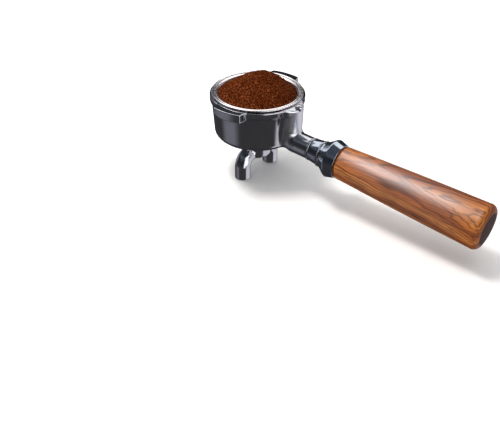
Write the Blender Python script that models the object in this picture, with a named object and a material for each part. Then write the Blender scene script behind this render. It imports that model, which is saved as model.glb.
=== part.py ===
"""Commercial espresso portafilter: chromed head, filter basket, twin spout and turned wooden grip.

Lengths below are in millimetres. The origin is on the head's axis, level with the top of the
basket rim. +Z is up and the handle leaves along +X, drooping slightly.
"""

import math

import bmesh
import bpy
from mathutils import Vector

MM = 0.001
GAP = 0.3

# Filter basket
RIM_R = 35.0
RIM_THICK = 1.5
BASKET_WALL = 0.7
BASKET_BORE_R = 29.6
BASKET_DEPTH = 26.5
BASKET_CORNER_R = 3.0
BASKET_LIP_R = 2.4
BASKET_LIP_DROP = 0.4
HOLE_R = 0.6
HOLE_PITCH = 7.0
HOLE_RINGS = 3

# Head casting
HEAD_R = 36.4
HEAD_TOP_Z = -(RIM_THICK + GAP)
HEAD_BAND_H = 4.6
HEAD_WALL_R = 34.9
HEAD_FOOT_R = 33.2
HEAD_FLOOR_Z = -29.8
HEAD_UNDER_Z = -36.6
HEAD_BORE_R = BASKET_BORE_R + BASKET_WALL + GAP
EDGE_R = 0.7

# Locking lugs
LUG_R = 42.0
LUG_H = 6.4
LUG_TOP_Z = -1.5
LUG_HALF_ANGLE = 20.8
LUG_TAPER = 5.0
LUG_CHAMFER = 0.5
LUG_CENTRE_ANGLE = 95.0
LUG_RAMP_H = 1.8

# Retaining spring
SPRING_WIRE_R = 0.6
SPRING_Z = -10.0
SPRING_OPEN_ANGLE = 34.0

# Outlet boss, nipple, gasket, nut and twin spout
OUTLET_R = 4.9
BOSS_R = 12.0
BOSS_Z = -39.4
NIPPLE_R = 8.3
NIPPLE_TOP_Z = -33.6
NIPPLE_FOOT_Z = -51.0
GASKET_H = 1.2
NUT_H = 2.6
NUT_FLATS = 23.0
HUB_R = 11.4
HUB_TOP_Z = BOSS_Z - GASKET_H - NUT_H - 3.0 * GAP
HUB_H = 10.4
SPOUT_RUN = 0.05
ARM_R = 6.1
ARM_BORE_R = 4.3
ARM_REACH = 17.5
ARM_BEND_R = 9.0
ARM_FOOT_Z = -69.0

# Rib, elbow and neck
NECK_R = 8.4
RIB_TOP_R = 11.0
RIB_FOOT_R = 10.7
NECK_DROP = 28.8
HANDLE_DROOP = 3.1
RIB_X = 30.0
ELBOW_R = 11.5
KNUCKLE_R = 3.1
KNUCKLE_X = 39.2
KNUCKLE_Z = -1.9
KNUCKLE_RISE = 2.1
KNUCKLE_DROP = 3.4

# Stations along the handle axis, measured from the head's axis
NECK_END = 52.3
NECK_RING_W = 1.4
NECK_RING_R = 8.95
COLLAR_R0 = 8.6
COLLAR_R1 = 9.5
COLLAR_RING_AT = 62.0
COLLAR_RING_W = 1.4
COLLAR_RING_R = 10.2
FERRULE_R0 = 10.0
FERRULE_R1 = 14.5
FERRULE_R2 = 12.6
FERRULE_VERTEX = 72.0
FERRULE_LAND = 0.9
FERRULE_END = 78.9
GRIP_END = 193.4
WASHER_W = 0.5
WASHER_R = 12.0
GRIP_R0 = 12.3
GRIP_R1 = 16.2
GRIP_FRONT_R = 1.6
GRIP_BACK_R = 4.6
STUD_R = 5.7
STUD_FROM = 36.0
STUD_TO = 112.0
INSERT_R = 8.4
INSERT_LEN = 34.0

# Ground coffee
DOSE_EDGE_Z = -2.0
DOSE_PEAK = 15.0
DOSE_POWER = 1.5
DOSE_LEAN = 0.1
DOSE_LEAN_ANGLE = 38.7
DOSE_SWELL = 0.4

ROUND_SEGS = 56
SMALL_SEGS = 36
WIRE_SEGS = 8


def clear_scene():
    for item in list(bpy.data.objects):
        bpy.data.objects.remove(item, do_unlink=True)


def material(name, colour, roughness, metallic):
    mat = bpy.data.materials.new(name)
    mat.use_nodes = True
    shader = mat.node_tree.nodes["Principled BSDF"]
    shader.inputs["Base Color"].default_value = (*colour, 1.0)
    shader.inputs["Roughness"].default_value = roughness
    shader.inputs["Metallic"].default_value = metallic
    mat.diffuse_color = (*colour, 1.0)
    return mat


def link(name, mesh, parent=None):
    item = bpy.data.objects.new(name, mesh)
    bpy.context.scene.collection.objects.link(item)
    item.parent = parent
    return item


def finish_mesh(bm, name):
    bmesh.ops.remove_doubles(bm, verts=bm.verts, dist=1e-7)
    bmesh.ops.recalc_face_normals(bm, faces=bm.faces)
    mesh = bpy.data.meshes.new(name)
    bm.to_mesh(mesh)
    bm.free()
    return mesh


def lathe_mesh(name, profile, segments=ROUND_SEGS, turn=0.0):
    """Closed (radius, height) loop turned about Z; points on the axis become single vertices."""
    bm = bmesh.new()
    columns = []
    for radius, height in profile:
        if radius < 1e-6:
            centre = bm.verts.new((0.0, 0.0, height * MM))
            columns.append([centre] * segments)
            continue
        column = []
        for step in range(segments):
            angle = turn + 2.0 * math.pi * step / segments
            point = (radius * math.cos(angle) * MM, radius * math.sin(angle) * MM, height * MM)
            column.append(bm.verts.new(point))
        columns.append(column)
    for here, there in zip(columns, columns[1:] + columns[:1]):
        for step in range(segments):
            after = (step + 1) % segments
            corners = []
            for vert in (here[step], here[after], there[after], there[step]):
                if vert not in corners:
                    corners.append(vert)
            if len(corners) > 2:
                bm.faces.new(corners)
    return finish_mesh(bm, name)


def arc(centre_r, centre_z, radius, start, end, steps):
    """Points of a profile arc, angles in degrees from the outward radial direction."""
    points = []
    for step in range(steps + 1):
        angle = math.radians(start + (end - start) * step / steps)
        points.append((centre_r + radius * math.cos(angle), centre_z + radius * math.sin(angle)))
    return points


def sweep_mesh(name, path, radii, segments, side):
    """Round bar along a planar path, one radius per point; side is the normal of the path's plane."""
    bm = bmesh.new()
    rings = []
    for index, point in enumerate(path):
        before = path[max(index - 1, 0)]
        after = path[min(index + 1, len(path) - 1)]
        across = (after - before).normalized().cross(side)
        ring = []
        for step in range(segments):
            angle = 2.0 * math.pi * step / segments
            offset = across * math.cos(angle) + side * math.sin(angle)
            ring.append(bm.verts.new((point + offset * radii[index]) * MM))
        rings.append(ring)
    for here, there in zip(rings, rings[1:]):
        for step in range(segments):
            after = (step + 1) % segments
            bm.faces.new((here[step], here[after], there[after], there[step]))
    bm.faces.new(rings[0])
    bm.faces.new(rings[-1])
    return finish_mesh(bm, name)


def bend_path(start, corner, end, radius, steps):
    """Straight, circular bend, straight: the path from start to end rounded at the corner."""
    into = (corner - start).normalized()
    out = (end - corner).normalized()
    turn = into.angle(out)
    setback = radius * math.tan(turn / 2.0)
    first = corner - into * setback
    normal = (out - into * into.dot(out)).normalized()
    centre = first + normal * radius
    path = [start]
    for step in range(steps + 1):
        angle = turn * step / steps
        path.append(centre - normal * radius * math.cos(angle) + into * radius * math.sin(angle))
    path.append(end)
    return path


def combine(target, others, operation):
    """Boolean the other objects into the target one at a time and remove them."""
    for other in others:
        modifier = target.modifiers.new(operation.title(), "BOOLEAN")
        modifier.operation = operation
        modifier.solver = "EXACT"
        modifier.object = other
        graph = bpy.context.evaluated_depsgraph_get()
        baked = bpy.data.meshes.new_from_object(target.evaluated_get(graph))
        target.modifiers.clear()
        target.data = baked
        bpy.data.objects.remove(other, do_unlink=True)


def tidy_mesh(item):
    bm = bmesh.new()
    bm.from_mesh(item.data)
    bmesh.ops.remove_doubles(bm, verts=bm.verts, dist=2e-6)
    bmesh.ops.dissolve_degenerate(bm, dist=2e-6, edges=bm.edges)
    bm.to_mesh(item.data)
    bm.free()


def dress(item, mat, sharp_degrees=32.0):
    item.data.materials.clear()
    item.data.materials.append(mat)
    for face in item.data.polygons:
        face.material_index = 0
    item.data.shade_smooth()
    item.data.set_sharp_from_angle(angle=math.radians(sharp_degrees))
    return item


def turned(name, profile, mat, parent=None, segments=ROUND_SEGS, turn=0.0):
    item = link(name, lathe_mesh(name, profile, segments, turn), parent)
    return dress(item, mat)


# Head casting

def head_shell_profile():
    band_z = HEAD_TOP_Z - HEAD_BAND_H
    foot_r = 6.0
    profile = [(HEAD_BORE_R, HEAD_TOP_Z)]
    profile += arc(HEAD_R - EDGE_R, HEAD_TOP_Z - EDGE_R, EDGE_R, 90.0, 0.0, 3)
    profile += [(HEAD_R, band_z), (HEAD_WALL_R, band_z - 1.4)]
    profile += arc(HEAD_FOOT_R - foot_r, HEAD_UNDER_Z + foot_r, foot_r, 4.0, -86.0, 5)
    profile += [(BOSS_R, HEAD_UNDER_Z), (BOSS_R, BOSS_Z + EDGE_R), (BOSS_R - EDGE_R, BOSS_Z)]
    profile += [(NIPPLE_R + GAP, BOSS_Z), (NIPPLE_R + GAP, NIPPLE_TOP_Z + GAP)]
    profile += [(OUTLET_R, NIPPLE_TOP_Z + GAP), (OUTLET_R, HEAD_FLOOR_Z - 2.2)]
    profile += [(HEAD_BORE_R - 1.4, HEAD_FLOOR_Z), (HEAD_BORE_R, HEAD_FLOOR_Z + 1.4)]
    return profile + spring_groove_profile()


def spring_groove_profile():
    """Groove in the bore, listed from its lower lip to its upper lip."""
    depth_r = HEAD_BORE_R + 2.0 * SPRING_WIRE_R + GAP
    half = SPRING_WIRE_R + GAP
    low, high = SPRING_Z - half, SPRING_Z + half
    return [(HEAD_BORE_R, low), (depth_r, low), (depth_r, high), (HEAD_BORE_R, high)]


def bore_plug_mesh():
    """Space inside the head that the rib and elbow must not enter."""
    top = HEAD_TOP_Z + 6.0
    corner = 1.4
    profile = [(0.0, HEAD_FLOOR_Z), (HEAD_BORE_R - corner, HEAD_FLOOR_Z)]
    profile += [(HEAD_BORE_R, HEAD_FLOOR_Z + corner)] + spring_groove_profile()
    profile += [(HEAD_BORE_R, top), (0.0, top)]
    return lathe_mesh("bore_plug", profile)


def lug_mesh(centre_angle):
    """One locking lug: a curved bar whose underside climbs at its leading end."""
    steps = 12
    ramp_steps = 4
    inner_r = HEAD_R - 2.4
    bm = bmesh.new()
    rings = []
    for step in range(steps + 1):
        share = step / steps
        outer_angle = math.radians(centre_angle + (2.0 * share - 1.0) * (LUG_HALF_ANGLE - LUG_TAPER))
        inner_angle = math.radians(centre_angle + (2.0 * share - 1.0) * LUG_HALF_ANGLE)
        climb = LUG_RAMP_H * max(0.0, 1.0 - step / ramp_steps)
        low = LUG_TOP_Z - LUG_H + climb
        ring = []
        section = [
            (inner_r, inner_angle, low),
            (LUG_R - LUG_CHAMFER, outer_angle, low),
            (LUG_R, outer_angle, low + LUG_CHAMFER),
            (LUG_R, outer_angle, LUG_TOP_Z - LUG_CHAMFER),
            (LUG_R - LUG_CHAMFER, outer_angle, LUG_TOP_Z),
            (HEAD_R - 0.1, inner_angle, LUG_TOP_Z),
            (inner_r, inner_angle, HEAD_TOP_Z - 1.0),
        ]
        for radius, angle, height in section:
            point = (radius * math.cos(angle), radius * math.sin(angle), height)
            ring.append(bm.verts.new(Vector(point) * MM))
        rings.append(ring)
    count = len(rings[0])
    for here, there in zip(rings, rings[1:]):
        for corner in range(count):
            after = (corner + 1) % count
            bm.faces.new((here[corner], here[after], there[after], there[corner]))
    bm.faces.new(rings[0])
    bm.faces.new(rings[-1])
    return finish_mesh(bm, "lug")


def handle_direction():
    droop = math.radians(HANDLE_DROOP)
    return Vector((math.cos(droop), 0.0, -math.sin(droop)))


def handle_point(station):
    return Vector((0.0, 0.0, -NECK_DROP)) + handle_direction() * station


def rib_and_neck_mesh():
    corner = handle_point(RIB_X / handle_direction().x)
    top = Vector((RIB_X, 0.0, HEAD_TOP_Z - 1.2))
    steps = 8
    path = bend_path(top, corner, handle_point(NECK_END), ELBOW_R, steps)
    bend_radii = [RIB_FOOT_R + (NECK_R - RIB_FOOT_R) * step / steps for step in range(steps + 1)]
    radii = [RIB_TOP_R] + bend_radii + [NECK_R]
    return sweep_mesh("rib_and_neck", path, radii, SMALL_SEGS, Vector((0.0, 1.0, 0.0)))


def knuckle_mesh():
    """Egg-shaped boss that stands out of the rib just under the rim."""
    steps = 8
    profile = [(0.0, KNUCKLE_Z + KNUCKLE_RISE)]
    for step in range(1, steps):
        angle = math.radians(90.0 - 180.0 * step / steps)
        tall = KNUCKLE_RISE if angle > 0.0 else KNUCKLE_DROP
        profile.append((KNUCKLE_R * math.cos(angle), KNUCKLE_Z + tall * math.sin(angle)))
    profile.append((0.0, KNUCKLE_Z - KNUCKLE_DROP))
    mesh = lathe_mesh("knuckle", profile, 24)
    for vert in mesh.vertices:
        vert.co.x += KNUCKLE_X * MM
    return mesh


def stud_hole_mesh(handle):
    depth = NECK_END - STUD_FROM + GAP
    radius = STUD_R + GAP
    start = STUD_FROM - GAP
    profile = [(0.0, start), (radius, start), (radius, start + depth + 2.0), (0.0, start + depth + 2.0)]
    return link("stud_hole", lathe_mesh("stud_hole", profile, SMALL_SEGS), handle)


def body_casting(mat, handle):
    body = link("body_casting", lathe_mesh("body_casting", head_shell_profile()))
    neck = link("neck_add", rib_and_neck_mesh())
    knuckle = link("knuckle_add", knuckle_mesh())
    combine(neck, [knuckle], "UNION")
    combine(neck, [link("bore_cut", bore_plug_mesh())], "DIFFERENCE")
    lugs = [link("lug_add", lug_mesh(angle)) for angle in (LUG_CENTRE_ANGLE, LUG_CENTRE_ANGLE - 180.0)]
    combine(body, [neck] + lugs, "UNION")
    bpy.context.view_layer.update()
    combine(body, [stud_hole_mesh(handle)], "DIFFERENCE")
    tidy_mesh(body)
    return dress(body, mat)


def basket_spring(mat):
    """Open wire ring that sits in the head's groove and grips the basket."""
    steps = 44
    radius = HEAD_BORE_R + SPRING_WIRE_R
    half_open = math.radians(SPRING_OPEN_ANGLE / 2.0)
    path = []
    for step in range(steps + 1):
        angle = math.pi + half_open + (2.0 * math.pi - 2.0 * half_open) * step / steps
        path.append(Vector((radius * math.cos(angle), radius * math.sin(angle), SPRING_Z)))
    radii = [SPRING_WIRE_R] * len(path)
    mesh = sweep_mesh("basket_spring", path, radii, WIRE_SEGS, Vector((0.0, 0.0, 1.0)))
    return dress(link("basket_spring", mesh), mat, 50.0)


# Basket and dose

def basket_profile():
    inner = BASKET_BORE_R
    outer = inner + BASKET_WALL
    floor_z = -BASKET_DEPTH
    bend = BASKET_LIP_R
    lip_z = -BASKET_LIP_DROP
    bead = RIM_THICK / 2.0
    profile = [(0.0, floor_z)]
    profile += arc(inner - 1.2 - BASKET_CORNER_R, floor_z + BASKET_CORNER_R, BASKET_CORNER_R, -90.0, -4.0, 3)
    profile += arc(inner + bend, lip_z - bend, bend, 180.0, 90.0, 5)
    profile += [(inner + bend + 0.9, lip_z - 0.3)]
    profile += arc(RIM_R - bead, -bead, bead, 105.0, -90.0, 6)
    profile += [(outer, -RIM_THICK)]
    corner = BASKET_CORNER_R + BASKET_WALL
    profile += arc(outer - 1.2 - corner, floor_z - BASKET_WALL + corner, corner, -4.0, -90.0, 3)
    profile += [(0.0, floor_z - BASKET_WALL)]
    return profile


def perforation_mesh():
    """Hexagonal pattern of small drilled holes through the basket floor."""
    bm = bmesh.new()
    floor_z = -BASKET_DEPTH
    sides = 6
    for row in range(-HOLE_RINGS, HOLE_RINGS + 1):
        count = 2 * HOLE_RINGS + 1 - abs(row)
        for column in range(count):
            centre_x = (column - (count - 1) / 2.0) * HOLE_PITCH
            centre_y = row * HOLE_PITCH * math.sqrt(3.0) / 2.0
            loops = []
            for height in (floor_z + 1.0, floor_z - BASKET_WALL - 1.0):
                loop = []
                for step in range(sides):
                    angle = 2.0 * math.pi * step / sides
                    x = centre_x + HOLE_R * math.cos(angle)
                    y = centre_y + HOLE_R * math.sin(angle)
                    loop.append(bm.verts.new((x * MM, y * MM, height * MM)))
                loops.append(loop)
            for step in range(sides):
                after = (step + 1) % sides
                bm.faces.new((loops[0][step], loops[0][after], loops[1][after], loops[1][step]))
            bm.faces.new(loops[0])
            bm.faces.new(loops[1])
    return finish_mesh(bm, "perforation")


def filter_basket(mat):
    basket = link("filter_basket", lathe_mesh("filter_basket", basket_profile()))
    combine(basket, [link("perforation", perforation_mesh())], "DIFFERENCE")
    tidy_mesh(basket)
    return dress(basket, mat)


def dose_height(x, y):
    """Top of the dose above a point of the basket: a mound whose peak leans a little off centre."""
    share = min(1.0, math.hypot(x, y))
    fade = DOSE_LEAN * (1.0 - share ** 2)
    lean = math.radians(DOSE_LEAN_ANGLE)
    reach = math.hypot(x - fade * math.cos(lean), y - fade * math.sin(lean))
    dome = DOSE_EDGE_Z + (DOSE_PEAK - DOSE_EDGE_Z) * (1.0 - reach ** DOSE_POWER)
    angle = math.atan2(y, x)
    swell = math.sin(3.0 * angle + 9.0 * share) + 0.6 * math.sin(7.0 * angle - 14.0 * share)
    return dome + DOSE_SWELL * swell * min(1.0, 4.0 * share) * (1.0 - share ** 4)


def ground_coffee(mat):
    """Dose heaped above the rim: a low dome with a gently uneven surface."""
    dose_r = BASKET_BORE_R - GAP
    foot_r = dose_r - 1.2 - 0.6 * BASKET_CORNER_R
    rings = 9
    profile = [(dose_r * ring / rings, DOSE_EDGE_Z) for ring in range(rings + 1)]
    side_z = -BASKET_DEPTH + BASKET_CORNER_R
    profile += [(dose_r - 1.2, side_z), (foot_r - 0.6, -BASKET_DEPTH + GAP + 0.2), (0.0, -BASKET_DEPTH + GAP)]
    mesh = lathe_mesh("ground_coffee", profile, 44)
    for vert in mesh.vertices:
        if vert.co.z > side_z * MM / 2.0:
            vert.co.z = dose_height(vert.co.x / (dose_r * MM), vert.co.y / (dose_r * MM)) * MM
    return dress(link("ground_coffee", mesh), mat, 80.0)


# Outlet hardware under the head

def ring_profile(inner, outer, low, high, edge):
    profile = [(inner, low), (outer - edge, low), (outer, low + edge)]
    profile += [(outer, high - edge), (outer - edge, high), (inner, high)]
    return profile


def outlet_nipple(mat):
    profile = ring_profile(OUTLET_R, NIPPLE_R, NIPPLE_FOOT_Z, NIPPLE_TOP_Z, 0.5)
    return turned("outlet_nipple", profile, mat, segments=SMALL_SEGS)


def outlet_gasket(mat):
    top = BOSS_Z - GAP
    profile = ring_profile(NIPPLE_R + GAP, BOSS_R - 0.6, top - GASKET_H, top, 0.2)
    return turned("outlet_gasket", profile, mat, segments=SMALL_SEGS)


def lock_nut(mat):
    top = BOSS_Z - GASKET_H - 2.0 * GAP
    corner_r = NUT_FLATS / 2.0 / math.cos(math.pi / 6.0)
    nut = link("spout_lock_nut", lathe_mesh("spout_lock_nut", [
        (0.0, top - NUT_H), (corner_r, top - NUT_H), (corner_r, top), (0.0, top)], 6))
    limit_profile = [(0.0, top - NUT_H - 1.0), (corner_r - 1.7, top - NUT_H - 1.0)]
    limit_profile += [(corner_r + 0.3, top - NUT_H / 2.0), (corner_r - 1.7, top + 1.0), (0.0, top + 1.0)]
    limit = link("nut_chamfer", lathe_mesh("nut_chamfer", limit_profile, SMALL_SEGS))
    combine(nut, [limit], "INTERSECT")
    hole_r = NIPPLE_R + GAP
    hole_profile = [(0.0, top - 2.0 * NUT_H), (hole_r, top - 2.0 * NUT_H), (hole_r, top + NUT_H), (0.0, top + NUT_H)]
    combine(nut, [link("nut_hole", lathe_mesh("nut_hole", hole_profile, SMALL_SEGS))], "DIFFERENCE")
    tidy_mesh(nut)
    return dress(nut, mat, 25.0)


def arm_path(sign, start_y, foot_z):
    hub_z = HUB_TOP_Z - HUB_H + ARM_R - 1.0
    start = Vector((0.0, sign * start_y, hub_z))
    corner = Vector((0.0, sign * ARM_REACH, hub_z - 3.4))
    end = Vector((0.0, sign * ARM_REACH, foot_z))
    return bend_path(start, corner, end, ARM_BEND_R, 6)


def twin_spout(mat):
    """Hub that turns on the nipple, with two curved outlet tubes."""
    foot_z = HUB_TOP_Z - HUB_H
    edge = 1.2
    seat_r = NIPPLE_R + SPOUT_RUN
    profile = [(0.0, foot_z)]
    profile += arc(HUB_R - 3.0, foot_z + 3.0, 3.0, -90.0, 0.0, 3)
    profile += [(HUB_R, HUB_TOP_Z - edge), (HUB_R - edge, HUB_TOP_Z), (0.0, HUB_TOP_Z)]
    spout = link("twin_spout", lathe_mesh("twin_spout", profile, SMALL_SEGS))
    side = Vector((1.0, 0.0, 0.0))
    for sign in (1.0, -1.0):
        path = arm_path(sign, 1.0, ARM_FOOT_Z)
        arm = sweep_mesh("arm", path, [ARM_R] * len(path), 22, side)
        combine(spout, [link("arm_add", arm)], "UNION")
    seat_z = NIPPLE_FOOT_Z - GAP
    well_z = foot_z + 1.9
    well = [(0.0, well_z), (OUTLET_R, well_z), (OUTLET_R, seat_z), (seat_r, seat_z), (seat_r, HUB_TOP_Z + 2.0)]
    well += [(0.0, HUB_TOP_Z + 2.0)]
    combine(spout, [link("seat_cut", lathe_mesh("seat_cut", well, SMALL_SEGS))], "DIFFERENCE")
    for sign in (1.0, -1.0):
        path = arm_path(sign, 0.4, ARM_FOOT_Z - 3.0)
        bore = sweep_mesh("bore", path, [ARM_BORE_R] * len(path), 16, side)
        combine(spout, [link("bore_cut", bore)], "DIFFERENCE")
    tidy_mesh(spout)
    return dress(spout, mat)


# Handle

def neck_stud(mat, handle):
    edge = 0.8
    profile = [(0.0, STUD_FROM), (STUD_R - edge, STUD_FROM), (STUD_R, STUD_FROM + edge)]
    profile += [(STUD_R, STUD_TO - edge), (STUD_R - edge, STUD_TO), (0.0, STUD_TO)]
    return turned("neck_stud", profile, mat, handle, 24)


def bead_profile(outer, start, width):
    """Rounded ring that rides on the stud."""
    inner = STUD_R + GAP
    bead_r = width / 2.0
    profile = [(inner, start)]
    profile += arc(outer - bead_r, start + bead_r, bead_r, -90.0, 90.0, 6)
    profile += [(inner, start + width)]
    return profile


def neck_ring(mat, handle):
    return turned("neck_ring", bead_profile(NECK_RING_R, NECK_END + GAP, NECK_RING_W), mat, handle, 40)


def handle_collar(mat, handle):
    inner = STUD_R + GAP
    start = NECK_END + NECK_RING_W + 2.0 * GAP
    end = COLLAR_RING_AT - GAP
    profile = [(inner, start), (COLLAR_R0, start), (COLLAR_R1, end), (inner, end)]
    return turned("handle_collar", profile, mat, handle, 40)


def collar_ring(mat, handle):
    return turned("collar_ring", bead_profile(COLLAR_RING_R, COLLAR_RING_AT, COLLAR_RING_W), mat, handle, 40)


def handle_ferrule(mat, handle):
    inner = STUD_R + GAP
    start = COLLAR_RING_AT + COLLAR_RING_W + GAP
    neck_flat = 1.6
    profile = [(inner, start), (FERRULE_R0 - 0.3, start), (FERRULE_R0, start + 0.4)]
    profile += [(FERRULE_R0 + 0.25, start + neck_flat)]
    profile += [(FERRULE_R1 - 0.25, FERRULE_VERTEX - FERRULE_LAND), (FERRULE_R1, FERRULE_VERTEX - FERRULE_LAND / 2.0)]
    profile += [(FERRULE_R1, FERRULE_VERTEX + FERRULE_LAND / 2.0), (FERRULE_R1 - 0.25, FERRULE_VERTEX + FERRULE_LAND)]
    profile += [(FERRULE_R2, FERRULE_END), (inner, FERRULE_END)]
    return turned("handle_ferrule", profile, mat, handle, 48)


def ferrule_washer(mat, handle):
    start = FERRULE_END + GAP
    profile = ring_profile(STUD_R + GAP, WASHER_R, start, start + WASHER_W, 0.15)
    return turned("ferrule_washer", profile, mat, handle, 40)


def grip_start():
    return FERRULE_END + WASHER_W + 2.0 * GAP


def grip_insert(mat, handle):
    start = grip_start() + GAP
    profile = ring_profile(STUD_R + GAP, INSERT_R, start, start + INSERT_LEN, 0.6)
    return turned("grip_insert", profile, mat, handle, SMALL_SEGS)


def wood_grip(mat, handle):
    """Turned grip: swells evenly towards its end, blind bore for the brass insert and the stud."""
    start = grip_start()
    back = GRIP_BACK_R
    pocket_r = INSERT_R + GAP
    pocket_end = start + INSERT_LEN + 2.0 * GAP
    tip_r = STUD_R + 0.8
    tip_end = STUD_TO + 4.0
    profile = [(pocket_r, start)]
    profile += arc(GRIP_R0 - GRIP_FRONT_R + 0.15, start + GRIP_FRONT_R, GRIP_FRONT_R, -90.0, 0.0, 4)
    stations = 4
    for step in range(1, stations):
        share = step / stations
        swell = 0.35 * math.sin(math.pi * share)
        radius = GRIP_R0 + (GRIP_R1 - GRIP_R0) * share + swell
        profile.append((radius, start + (GRIP_END - start) * share))
    profile += arc(GRIP_R1 - back, GRIP_END - back, back, 0.0, 80.0, 6)
    profile += [(0.0, GRIP_END + 0.3), (0.0, tip_end), (tip_r, tip_end), (tip_r, pocket_end), (pocket_r, pocket_end)]
    return turned("wood_grip", profile, mat, handle, 48)


def handle_axis():
    frame = bpy.data.objects.new("handle_axis", None)
    bpy.context.scene.collection.objects.link(frame)
    frame.location = (0.0, 0.0, -NECK_DROP * MM)
    frame.rotation_euler = (0.0, math.radians(90.0 + HANDLE_DROOP), 0.0)
    return frame


def build():
    clear_scene()
    chrome = material("chrome", (0.78, 0.79, 0.82), 0.08, 1.0)
    ring_chrome = material("ring_chrome", (0.80, 0.81, 0.84), 0.10, 1.0)
    ferrule_chrome = material("ferrule_chrome", (0.62, 0.66, 0.74), 0.10, 1.0)
    spout_chrome = material("spout_chrome", (0.78, 0.79, 0.82), 0.10, 1.0)
    steel = material("basket_steel", (0.74, 0.73, 0.73), 0.22, 1.0)
    wire = material("spring_steel", (0.62, 0.62, 0.64), 0.25, 1.0)
    stud_steel = material("stud_steel", (0.55, 0.55, 0.57), 0.35, 1.0)
    brass = material("brass", (0.80, 0.60, 0.28), 0.30, 1.0)
    gasket = material("gasket", (0.86, 0.85, 0.80), 0.55, 0.0)
    fibre = material("fibre", (0.10, 0.09, 0.08), 0.75, 0.0)
    wood = material("wood", (0.33, 0.13, 0.045), 0.32, 0.0)
    coffee = material("coffee", (0.12, 0.035, 0.012), 0.90, 0.0)
    handle = handle_axis()
    bpy.context.view_layer.update()
    body_casting(chrome, handle)
    basket_spring(wire)
    filter_basket(steel)
    ground_coffee(coffee)
    outlet_nipple(brass)
    outlet_gasket(gasket)
    lock_nut(ring_chrome)
    twin_spout(spout_chrome)
    neck_stud(stud_steel, handle)
    neck_ring(ring_chrome, handle)
    handle_collar(ferrule_chrome, handle)
    collar_ring(ring_chrome, handle)
    handle_ferrule(ferrule_chrome, handle)
    ferrule_washer(fibre, handle)
    grip_insert(brass, handle)
    wood_grip(wood, handle)


build()
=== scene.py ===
"""Looks for the portafilter: finished meshes, procedural materials, studio light and camera.

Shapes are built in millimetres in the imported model's own frame: origin on the head's axis at the
top of the basket rim, +Z up, handle along +X with a slight droop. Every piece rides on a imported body.
"""

import math

import bmesh
import bpy
import numpy as np
from mathutils import Euler, Matrix, Vector, noise


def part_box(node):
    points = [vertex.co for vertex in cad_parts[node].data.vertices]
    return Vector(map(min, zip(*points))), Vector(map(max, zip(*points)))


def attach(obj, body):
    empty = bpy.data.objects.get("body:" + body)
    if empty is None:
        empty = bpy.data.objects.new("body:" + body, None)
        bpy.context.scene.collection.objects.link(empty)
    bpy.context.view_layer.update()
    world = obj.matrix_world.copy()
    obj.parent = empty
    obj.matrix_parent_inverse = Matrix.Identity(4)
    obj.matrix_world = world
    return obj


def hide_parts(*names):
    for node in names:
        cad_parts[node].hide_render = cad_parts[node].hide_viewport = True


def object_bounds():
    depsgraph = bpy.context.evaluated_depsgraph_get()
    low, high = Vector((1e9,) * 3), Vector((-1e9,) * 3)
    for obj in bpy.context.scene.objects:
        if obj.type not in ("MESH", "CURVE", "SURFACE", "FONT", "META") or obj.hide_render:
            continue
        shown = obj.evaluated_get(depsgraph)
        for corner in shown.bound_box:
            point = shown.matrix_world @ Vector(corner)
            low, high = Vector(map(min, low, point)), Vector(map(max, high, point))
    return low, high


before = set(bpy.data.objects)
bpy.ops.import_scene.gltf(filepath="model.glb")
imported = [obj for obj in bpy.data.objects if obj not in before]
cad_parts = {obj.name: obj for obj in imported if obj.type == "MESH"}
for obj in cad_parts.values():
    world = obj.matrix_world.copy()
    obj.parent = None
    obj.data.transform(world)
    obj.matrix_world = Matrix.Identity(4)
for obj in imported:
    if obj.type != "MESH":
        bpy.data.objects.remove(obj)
cad_low, cad_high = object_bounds()

MM = 0.001
GAP = 0.3


# Sizes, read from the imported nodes

def low_high(node):
    low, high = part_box(node)
    return Vector(low) / MM, Vector(high) / MM


def node_points(node):
    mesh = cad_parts[node].data
    points = np.empty(len(mesh.vertices) * 3)
    mesh.vertices.foreach_get("co", points)
    return points.reshape(-1, 3) / MM


def handle_line():
    """Origin on the head's axis and direction of the handle, from the stud that runs along it."""
    low, high = low_high("neck_stud")
    size = high - low
    middle = (high + low) / 2.0
    radius = size.y / 2.0
    tilt = 0.0
    for _ in range(12):
        tilt = math.atan2(size.z - 2.0 * radius * math.cos(tilt), size.x - 2.0 * radius * math.sin(tilt))
    direction = Vector((math.cos(tilt), 0.0, -math.sin(tilt)))
    origin = middle - direction * (middle.x / direction.x)
    return origin, direction, tilt


HANDLE_ORIGIN, HANDLE_DIR, DROOP = handle_line()


def station_range(node):
    """First and last station of a node along the handle axis, and its largest radius."""
    points = node_points(node) - np.array(HANDLE_ORIGIN)
    stations = points @ np.array(HANDLE_DIR)
    across = points - stations[:, None] * np.array(HANDLE_DIR)
    return stations.min(), stations.max(), np.linalg.norm(across, axis=1).max()


RIM_R = low_high("filter_basket")[1].y
BASKET_WALL = 0.7
BASKET_BORE_R = 29.6
BASKET_LIP_R = 2.4
BASKET_LIP_DROP = 0.4
BASKET_FLOOR_Z = low_high("filter_basket")[0].z + BASKET_WALL
BASKET_CORNER_R = 3.0
BASKET_WAIST_Z = -16.0
BASKET_TAPER = 1.2
CREST_R = 1.0
RIM_BEAD_R = 0.95
RIM_THICK = 1.5
HOLE_RINGS = 8
HOLE_PITCH = 2.9
HOLE_R = 0.45

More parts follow.
